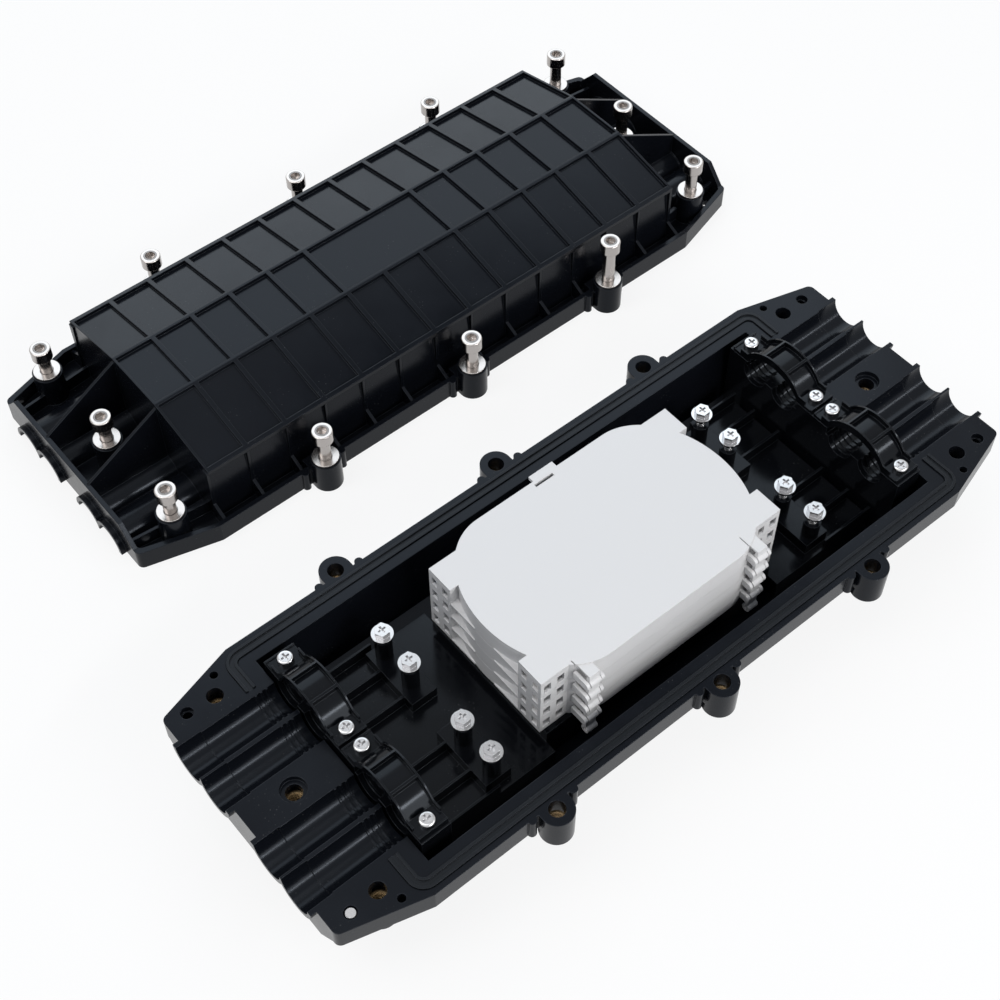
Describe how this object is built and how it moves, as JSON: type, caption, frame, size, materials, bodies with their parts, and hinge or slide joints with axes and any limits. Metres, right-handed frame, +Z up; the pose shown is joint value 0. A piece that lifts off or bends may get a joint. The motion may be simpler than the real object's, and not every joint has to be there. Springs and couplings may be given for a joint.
{
  "type": "fibre optic splice closure",
  "caption": "Opened in-line fibre splice closure: ribbed black base with hinged white splice trays, clamps and half round ports, and its ribbed cover lying beside it.",
  "frame": {"origin": "on the surface that the closure lies on, under the middle of the base half", "axes": "+X along the cable run, +Y from the base half towards the cover half, +Z up"},
  "size_m": [0.5434, 0.4858, 0.0892],
  "materials": {
    "shell_black": "moulded black, satin",
    "bracket_black": "moulded black",
    "seal_rubber": "soft moulded strip",
    "insert_brass": "turned",
    "bolt_steel": "plain stainless",
    "screw_zinc": "bright plated",
    "tray_white": "moulded pale grey white"
  },
  "bodies": {
    "closure": {"base_shell": "shell_black", "brass_inserts": "insert_brass", "clamp_left_far": "bracket_black", "clamp_left_near": "bracket_black", "clamp_right_far": "bracket_black", "clamp_right_near": "bracket_black", "clamp_screws_left_far": "screw_zinc", "clamp_screws_left_near": "screw_zinc", "clamp_screws_right_far": "screw_zinc", "clamp_screws_right_near": "screw_zinc", "cover_bolt_far_left": "bolt_steel", "cover_bolt_far_middle": "bolt_steel", "cover_bolt_far_right": "bolt_steel", "cover_bolt_left_far": "bolt_steel", "cover_bolt_left_middle": "bolt_steel", "cover_bolt_left_near": "bolt_steel", "cover_bolt_near_left": "bolt_steel", "cover_bolt_near_middle": "bolt_steel", "cover_bolt_near_right": "bolt_steel", "cover_bolt_right_far": "bolt_steel", "cover_bolt_right_middle": "bolt_steel", "cover_bolt_right_near": "bolt_steel", "cover_shell": "shell_black", "cover_washers": "bolt_steel", "cradle_left": "bracket_black", "cradle_right": "bracket_black", "dowel_pin": "bolt_steel", "post_left_1": "bracket_black", "post_left_2": "bracket_black", "post_left_3": "bracket_black", "post_left_4": "bracket_black", "post_right_1": "bracket_black", "post_right_2": "bracket_black", "post_right_3": "bracket_black", "post_right_4": "bracket_black", "post_screw_left_1": "screw_zinc", "post_screw_left_2": "screw_zinc", "post_screw_left_3": "screw_zinc", "post_screw_left_4": "screw_zinc", "post_screw_right_1": "screw_zinc", "post_screw_right_2": "screw_zinc", "post_screw_right_3": "screw_zinc", "post_screw_right_4": "screw_zinc", "seal_far": "seal_rubber", "seal_near": "seal_rubber", "tray_1": "tray_white", "tray_platform": "bracket_black"},
    "tray_2_body": {"tray_2": "tray_white"},
    "tray_3_body": {"tray_3": "tray_white"},
    "tray_4_body": {"tray_4": "tray_white"},
    "tray_lid_body": {"tray_lid": "tray_white"}
  },
  "joints": [
    {"name": "tray_2_hinge", "type": "hinge", "parent": "closure", "child": "tray_2_body", "pos_m": [0, -0.0575, 0.045], "axis": [1, 0, 0], "range_deg": [0, 20]},
    {"name": "tray_3_hinge", "type": "hinge", "parent": "tray_2_body", "child": "tray_3_body", "pos_m": [0, -0.0575, 0.057], "axis": [1, 0, 0], "range_deg": [0, 20]},
    {"name": "tray_4_hinge", "type": "hinge", "parent": "tray_3_body", "child": "tray_4_body", "pos_m": [0, -0.0575, 0.069], "axis": [1, 0, 0], "range_deg": [0, 20]},
    {"name": "tray_lid_hinge", "type": "hinge", "parent": "tray_4_body", "child": "tray_lid_body", "pos_m": [0, -0.0575, 0.081], "axis": [1, 0, 0], "range_deg": [0, 70]}
  ]
}
